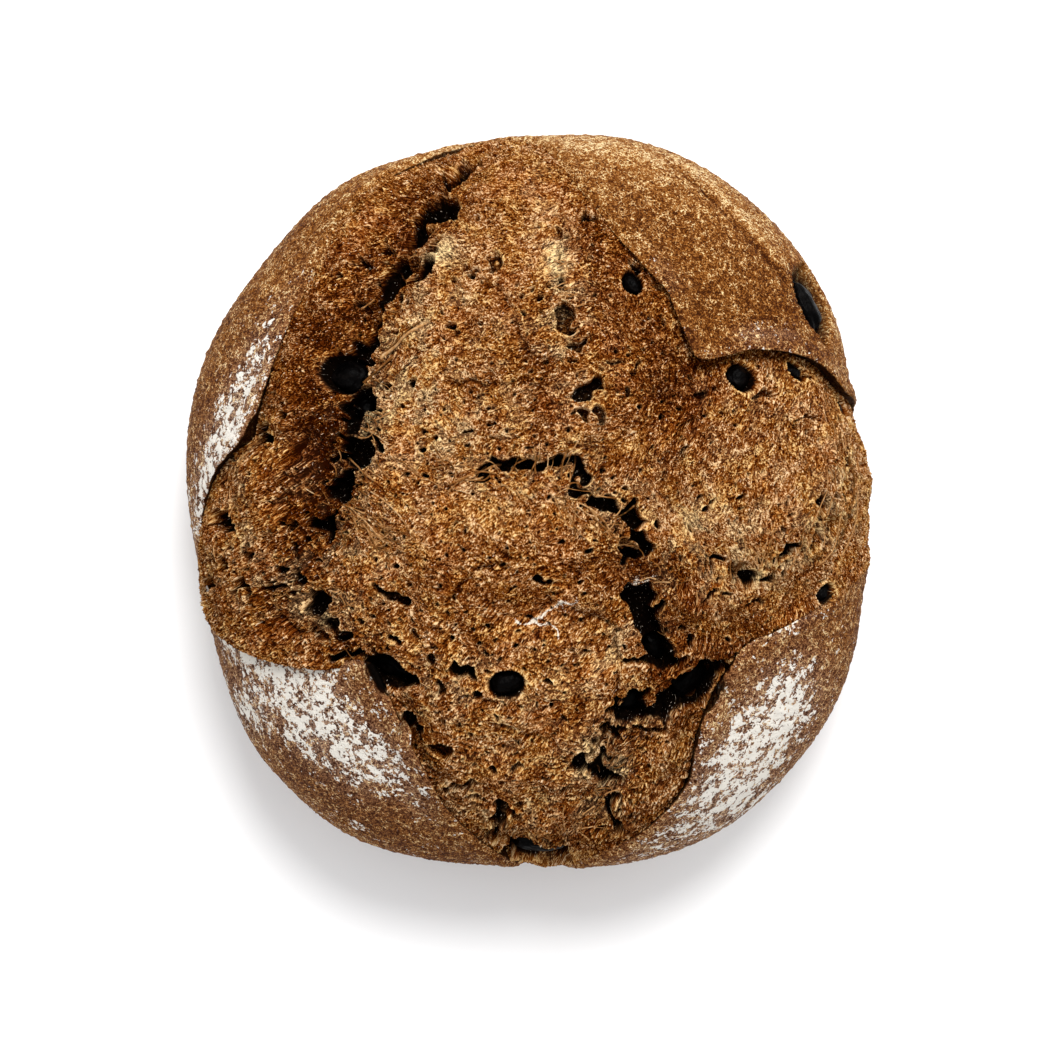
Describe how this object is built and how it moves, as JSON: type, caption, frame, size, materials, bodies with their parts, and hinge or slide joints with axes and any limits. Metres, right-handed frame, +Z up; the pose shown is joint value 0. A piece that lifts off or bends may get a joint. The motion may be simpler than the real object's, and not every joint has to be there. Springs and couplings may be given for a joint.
{
  "type": "olive bread",
  "caption": "Round rustic hearth loaf with a floured crust torn open in a wide cross, its rough crumb studded with pieces of black olive.",
  "frame": {"origin": "on the surface the loaf rests on, under the middle of its box", "axes": "+Z up from the flat base; seen from above, as in the picture, +X is right and +Y is towards the top of the picture"},
  "size_m": [0.1984, 0.2134, 0.0909],
  "materials": {
    "crust": "matte, mottled baked crust with flour dust and a torn fibrous crumb",
    "olive": "glossy, wrinkled dark olive skin"
  },
  "bodies": {
    "root": {"loaf": "crust", "olive_01": "olive", "olive_02": "olive", "olive_03": "olive", "olive_04": "olive", "olive_05": "olive", "olive_06": "olive", "olive_07": "olive", "olive_08": "olive", "olive_09": "olive", "olive_10": "olive", "olive_11": "olive", "olive_12": "olive", "olive_13": "olive", "olive_14": "olive", "olive_15": "olive"}
  },
  "joints": []
}
